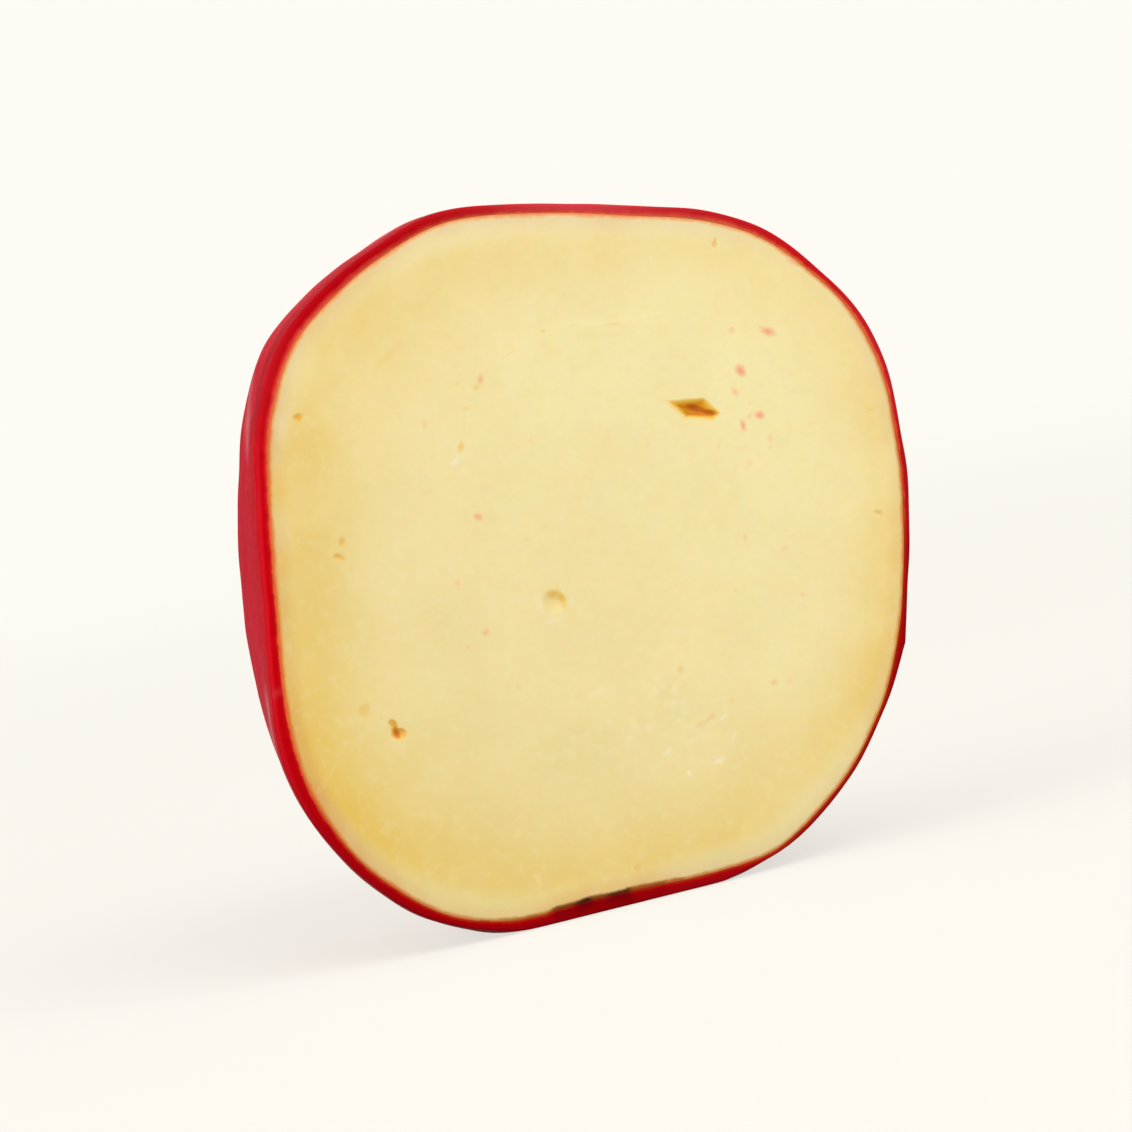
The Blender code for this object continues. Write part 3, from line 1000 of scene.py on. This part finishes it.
back_angle = np.array([90.0])
ends = [wall_ring(back_angle, back_angle, radius_at) for radius_at in (inner_radius, wax_radius)]
wax_points = np.concatenate((*rows, *ends))
index = np.arange(len(rows) * WAX_TURNS).reshape(len(rows), WAX_TURNS)
inner_pole = np.full(WAX_TURNS, len(wax_points) - 2)
outer_pole = np.full(WAX_TURNS, len(wax_points) - 1)
caps = np.concatenate((
    np.stack((inner_pole, index[0], np.roll(index[0], -1)), axis=-1),
    np.stack((index[-1], outer_pole, np.roll(index[-1], -1)), axis=-1),
))
wax_faces = ring_quads(index).tolist() + caps.tolist()

# What the materials read: distance from the paste's edge, turn, nearness to the cut, and
# the place on the ball beneath each point.
rays = wax_points - BALL_CENTRE
from_edge = np.hypot(rays[:, 0], rays[:, 2])
from_edge = from_edge - np.concatenate((np.tile(inner_edge, len(rows)), (0.0, 0.0)))
point_turn = np.concatenate((np.tile(wax_turn, len(rows)), (0.0, 0.0)))
near_cut = bell(np.maximum(wax_points[:, 1] - CUT_Y, 0.0), NEAR_CUT)
ray_lean = np.degrees(np.arcsin(rays[:, 1] / np.linalg.norm(rays, axis=1)))
on_ball = surface_line(np.stack((turn_of(rays[:, 0], rays[:, 2]), ray_lean), axis=-1))
low = (wax_points[:, 2] < STAIN_TOP) * near_cut
fields = {
    "strip": np.concatenate((np.repeat(strip_share, WAX_TURNS), (0.0, 2.0))),
    "from_edge": from_edge,
    "deep": stations(point_turn, SHADED_RED) * near_cut,
    "glow": stations(point_turn, CORNER_HIGHLIGHT),
    "bloom": stations(point_turn, STRIP_SHEEN) * near_cut,
    "warm": stations(point_turn, WARM_EDGE),
    "crease": bell(around(point_turn, CREASE_TURN), CREASE_REACH),
    "groove_shade": bell(line_distance(on_ball, surface_line(SHADE_LINE)), SHADE_WIDTH),
    "sheen_and_bloom": np.max([
        strength * bell(line_distance(on_ball, surface_line(np.array(line))), width)
        for strength, width, line in SHEEN_AND_BLOOM
    ], axis=0),
    "black_edge": np.interp(wax_points[:, 0], *np.transpose(BLACK_EDGE)) * low,
}
wax = mesh_piece("wax_skin", wax_points, wax_faces, fields, sharp_angle=70.0)
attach(wax, "root")
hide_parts("wax_coat")

# Red cheese wax, set after dipping: satin, its skin a little bloomed and rubbed by hands. It gives the eye a
# deep red that pales to pink where it mirrors the light; painted sheen and painted shade also lie on its
# colour in places.
material, tree = new_material("red_cheese_wax_skin")
place = add(tree, "TexCoord", output="Object")
carried = {
    name: add(tree, "Attribute", output="Fac", attribute_name=name)
    for name in ("deep", "sheen_and_bloom", "groove_shade")
}

# Bloom in patches of 9 mm, rubs of 2.2 mm and ripples of 3 mm.
bloom, rub, ripples = (
    add(tree, "TexNoise", {"Vector": place, "Scale": 1.0 / (size * MM), "Detail": detail, "Roughness": rough})
    for size, detail, rough in ((9.0, 5.0, 0.6), (2.2, 4.0, 0.65), (3.0, 4.0, 0.55))
)
behind = add(tree, "SeparateXYZ", (place,), "Y")
behind = add(tree, "MapRange", (behind, *(SKIN_STARTS * MM)), **SMOOTH)
bloomed = add(tree, "MapRange", (bloom, 0.35, 0.7), **SMOOTH)
skin = add(tree, "Mix", {SHARE: bloomed, UNDER: "CC0A22", OVER: "D41632"}, **COLOURS)
dull_bloom = add(tree, "MapRange", (bloom, 0.6, 0.8, 0.0, 0.35), **SMOOTH)
worn = add(tree, "MapRange", (rub, 0.62, 0.8, 0.0, 0.25), **SMOOTH)
# Painted shade near the cut, most along the bottom.
deep = add(tree, "Math", (carried["deep"], 0.85), **TIMES)
patchy = add(tree, "MapRange", (bloom, 0.3, 0.6, 0.35, 0.8), **SMOOTH)
# Painted sheen, partly bloom, in patches.
sheen_and_bloom = add(tree, "Math", (carried["sheen_and_bloom"], patchy), **TIMES)
# Painted shade beside the groove.
groove_shade = add(tree, "Math", (carried["groove_shade"], 0.85), **TIMES)
colour = "D00016"
for share, over in (
    (behind, skin),
    (dull_bloom, "D8485C"),
    (worn, "D2485A"),
    (deep, "940410"),
    (sheen_and_bloom, "E08890"),
    (groove_shade, "A00012"),
):
    colour = add(tree, "Mix", {SHARE: share, UNDER: colour, OVER: over}, **COLOURS)
relief = add(tree, "Math", (ripples, 0.06 * MM), **TIMES)
shader = add(tree, "BsdfPrincipled", {
    "Base Color": colour,
    "Roughness": add(tree, "MapRange", (rub, 0.3, 0.75, 0.38, 0.52), **SMOOTH),
    "IOR": 1.44,
    "Specular IOR Level": 0.07,
    "Subsurface Weight": 0.12,
    "Subsurface Radius": (1.0, 0.12, 0.1),
    "Subsurface Scale": 1.2 * MM,
    "Normal": add(tree, "Bump", {"Height": relief, "Strength": 1.0, "Distance": 1.0}),
})
add(tree, "OutputMaterial", {"Surface": shader})
wax.data.materials.append(material)

# The same wax where the knife went through: dull and clean, so that its full red shows.
# Next to the paste it is thin and oily, and turns orange.
material, tree = new_material("red_cheese_wax_cut")
place = add(tree, "TexCoord", output="Object")
carried = {
    name: add(tree, "Attribute", output="Fac", attribute_name=name)
    for name in ("strip", "from_edge", "deep", "glow", "bloom", "crease", "black_edge", "warm")
}
smear = add(tree, "TexNoise", {"Vector": place, "Scale": 1.0 / (1.6 * MM), "Detail": 3.0})
smeared = add(tree, "MapRange", (smear, 0.35, 0.7), **SMOOTH)
ragged = add(tree, "MapRange", (smear, 0.3, 0.7, -0.1, 0.1), **SMOOTH)
across = add(tree, "Math", (carried["from_edge"], ragged), operation="ADD")

# The corner is painted bright, a painted highlight, and a pale painted sheen lies on it, on parts of the
# strip and on the crease.
corner = add(tree, "MapRange", (carried["strip"], 0.7, 1.5), **SMOOTH)
corner_colour = add(tree, "Mix", {SHARE: carried["glow"], UNDER: "9E0414", OVER: "D81428"}, **COLOURS)
corner_share = add(tree, "Math", (corner, 0.85), **TIMES)
corner_sheen = add(tree, "Math", (carried["glow"], 0.12), **TIMES)
corner_sheen = add(tree, "Math", (corner, corner_sheen), **TIMES)
crease_highlight = add(tree, "Math", (carried["crease"], 0.4), **TIMES)
bloom = add(tree, "Math", (carried["bloom"], corner_sheen), operation="ADD")
bloom = add(tree, "Math", (bloom, crease_highlight), operation="ADD")
bloom = add(tree, "MapRange", (bloom, 0.0, 1.0, 0.0, 0.8), **SMOOTH)

# Next to the paste it is black in some places and warm in others, and turns orange, least where it is black
# or painted in shade.
near_paste = add(tree, "MapRange", (across, 2.6, 0.2, 0.0, 0.75), **SMOOTH)
black_edge = add(tree, "Math", (carried["black_edge"], near_paste), **TIMES)
near_paste = add(tree, "MapRange", (across, 1.2, 0.2, 0.0, 0.8), **SMOOTH)
warm = add(tree, "Math", (near_paste, carried["warm"]), **TIMES)
orange = add(tree, "MapRange", (across, 0.55, 0.0), **SMOOTH)
shallow = add(tree, "MapRange", (carried["deep"], 0.0, 1.0, 0.9, 0.5), **SMOOTH)
orange = add(tree, "Math", (orange, shallow), **TIMES)
away_from_black = add(tree, "MapRange", (carried["black_edge"], 1.0, 0.0, 0.3, 1.0), **SMOOTH)
orange = add(tree, "Math", (orange, away_from_black), **TIMES)
# The orange is darker where the red is painted in shade.
melted = add(tree, "MapRange", (carried["deep"], 0.1, 0.8), **SMOOTH)
melted = add(tree, "Mix", {SHARE: melted, UNDER: "FC7648", OVER: "A43008"}, **COLOURS)
colour = "CC0008"
for share, over in (
    (smeared, "C2000C"),
    # Painted highlight and shade on the corner.
    (corner_share, corner_colour),
    # Painted shade.
    (carried["deep"], "8E0008"),
    # Painted sheen.
    (bloom, "CC464C"),
    (black_edge, "4A0004"),
    (warm, "F05048"),
    (orange, melted),
):
    colour = add(tree, "Mix", {SHARE: share, UNDER: colour, OVER: over}, **COLOURS)
shader = add(tree, "BsdfPrincipled", {
    "Base Color": colour,
    "Roughness": 0.6,
    "IOR": 1.44,
    "Specular IOR Level": 0.02,
    "Subsurface Weight": 0.12,
    "Subsurface Radius": (1.0, 0.12, 0.1),
    "Subsurface Scale": 1.0 * MM,
})
add(tree, "OutputMaterial", {"Surface": shader})
wax.data.materials.append(material)

# The knife's cut is the strip and the first half of its corner. Faces come ring by ring.
first_cut_ring = INNER_ROWS - 1
last_cut_ring = first_cut_ring + STRIP_ROWS + CORNER_ROWS // 2 + 1
kinds = np.zeros(len(wax.data.polygons), dtype=np.int32)
kinds[first_cut_ring * WAX_TURNS : last_cut_ring * WAX_TURNS] = 1
wax.data.polygons.foreach_set("material_index", kinds)

# ======== Floor, light and camera ========
#
# A pale matt board that runs out into the backdrop, and large soft lights: the main one
# from the upper right before the cut, one from the left and a faint one from the back
# left. The camera stands at the photograph's viewing angle.

# The floor is a disc a hair below the cheese, in metres. Three tenths of it are seen and
# the rest lets the backdrop through. Between two distances it fades out altogether.
BACKDROP = "FEFBF4"
FLOOR_RADIUS = 1.2
FLOOR_DROP = 0.1 * MM
FLOOR_FADE = (0.35, 1.14)
FLOOR_STEPS = 96
FLOOR_SEEN = 0.3

angles = np.arange(FLOOR_STEPS) * 2.0 * np.pi / FLOOR_STEPS
floor_z = np.full(FLOOR_STEPS, -FLOOR_DROP)
ring = np.stack((FLOOR_RADIUS * np.cos(angles), FLOOR_RADIUS * np.sin(angles), floor_z), axis=-1)
floor_mesh = bpy.data.meshes.new("floor")
floor_mesh.from_pydata(ring.tolist(), [], [list(range(FLOOR_STEPS))])
floor = bpy.data.objects.new("floor", floor_mesh)
bpy.context.scene.collection.objects.link(floor)

# Pale matt board: it gives the eye a faint shadow and no sheen.
material, tree = new_material("matt_board")
place = add(tree, "TexCoord", output="Object")
away = add(tree, "VectorMath", (place,), "Value", operation="LENGTH")
board = add(tree, "BsdfDiffuse", {"Color": "DEDBD7"})
clear = add(tree, "BsdfTransparent")
fade = add(tree, "MapRange", (away, *FLOOR_FADE, 1.0 - FLOOR_SEEN, 1.0), **SMOOTH)
surface = add(tree, "MixShader", (fade, board, clear))
add(tree, "OutputMaterial", {"Surface": surface})
floor_mesh.materials.append(material)

# The studio is bright overhead and dim towards the horizon, which keeps the wax red.
world = bpy.data.worlds.new("studio")
world.use_nodes = True
tree = world.node_tree
tree.nodes.clear()
view = add(tree, "TexCoord", output="Generated")
height = add(tree, "SeparateXYZ", (view,), "Z")
seen = add(tree, "LightPath", output="Is Camera Ray")
brightness = add(tree, "MapRange", (height, -0.1, 0.7, 0.15, 0.6), **SMOOTH)
fill = add(tree, "Background", {"Color": "FFFDF8", "Strength": brightness})
backdrop = add(tree, "Background", {"Color": BACKDROP, "Strength": 1.0})
mixed = add(tree, "MixShader", (seen, fill, backdrop))
add(tree, "OutputWorld", {"Surface": mixed})
bpy.context.scene.world = world

# The lights aim at the middle of the cheese.
AIM = Vector((0.0, 0.0, 0.07))


def soft_light(name, azimuth, elevation, distance, size, power, colour):
    """Square area light aimed at the cheese. Azimuth 0 stands before the cut, 90 right."""
    light = bpy.data.lights.new(name, "AREA")
    light.size = size
    light.energy = power
    light.color = linear(colour)[:3]
    lamp = bpy.data.objects.new(name, light)
    turn, rise = np.radians(azimuth), np.radians(elevation)
    away = Vector((np.sin(turn) * np.cos(rise), -np.cos(turn) * np.cos(rise), np.sin(rise)))
    lamp.location = AIM + away * distance
    lamp.rotation_euler = away.to_track_quat("Z", "Y").to_euler()
    bpy.context.scene.collection.objects.link(lamp)


soft_light("key_light", 28.0, 42.0, 3.0, 2.6, 77.0, "FFFDF8")
soft_light("left_light", 285.0, 24.0, 2.5, 1.8, 36.0, "FFFDF8")
soft_light("back_light", 240.0, 62.0, 2.5, 1.6, 6.0, "FFFFFF")

# The camera stands a metre off, 15 degrees to the left of square and 5 above, and is
# rolled, because the photograph shows the cheese turned against the clock.
PHOTO_SIDE = 1132
PIXELS_PER_MM = 5.2
CAMERA_DISTANCE = 1000.0
CAMERA_YAW, CAMERA_RISE, CAMERA_ROLL = np.radians((15.0, 5.0, 11.7))
CAMERA_TARGET = Vector((0.0, CUT_Y * MM, 67.0 * MM))

camera_data = bpy.data.cameras.new("camera")
camera_data.sensor_width = 36.0
camera_data.lens = camera_data.sensor_width * PIXELS_PER_MM * CAMERA_DISTANCE / PHOTO_SIDE
camera_data.clip_start, camera_data.clip_end = 0.01, 20.0
camera = bpy.data.objects.new("camera", camera_data)
bpy.context.scene.collection.objects.link(camera)
forward = Vector((
    np.sin(CAMERA_YAW) * np.cos(CAMERA_RISE),
    np.cos(CAMERA_YAW) * np.cos(CAMERA_RISE),
    -np.sin(CAMERA_RISE),
))
level = Vector((np.cos(CAMERA_YAW), -np.sin(CAMERA_YAW), 0.0))
upright = level.cross(forward)
right = np.cos(CAMERA_ROLL) * level - np.sin(CAMERA_ROLL) * upright
above = np.sin(CAMERA_ROLL) * level + np.cos(CAMERA_ROLL) * upright
turned = Matrix((right, above, -forward)).transposed().to_4x4()
stand = CAMERA_TARGET - forward * CAMERA_DISTANCE * MM
camera.matrix_world = Matrix.Translation(stand) @ turned
bpy.context.scene.camera = camera
bpy.context.scene.view_settings.view_transform = "Standard"
